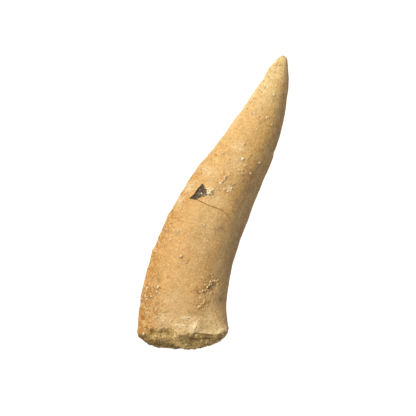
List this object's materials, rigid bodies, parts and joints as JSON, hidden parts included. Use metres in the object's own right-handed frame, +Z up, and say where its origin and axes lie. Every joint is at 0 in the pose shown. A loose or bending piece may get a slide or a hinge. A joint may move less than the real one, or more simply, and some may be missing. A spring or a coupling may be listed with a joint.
{
  "type": "fossil fish tooth",
  "caption": "Curved fossil fang, oval in section, with a rough broken root end, a pointed tip and a small chip; it lies on its side.",
  "frame": {"origin": "middle of the bounding box's floor, under the tooth as it lies on its side", "axes": "+Y along the tooth from the broken root end to the tip, +X towards the blunt back edge, +Z up"},
  "size_m": [0.016, 0.0524, 0.0119],
  "materials": {
    "fossil_enamel": "tan fossil enamel, worn to a soft gloss, with a gritty greenish crust on the broken root end"
  },
  "bodies": {
    "root": {"tooth": "fossil_enamel"}
  },
  "joints": []
}
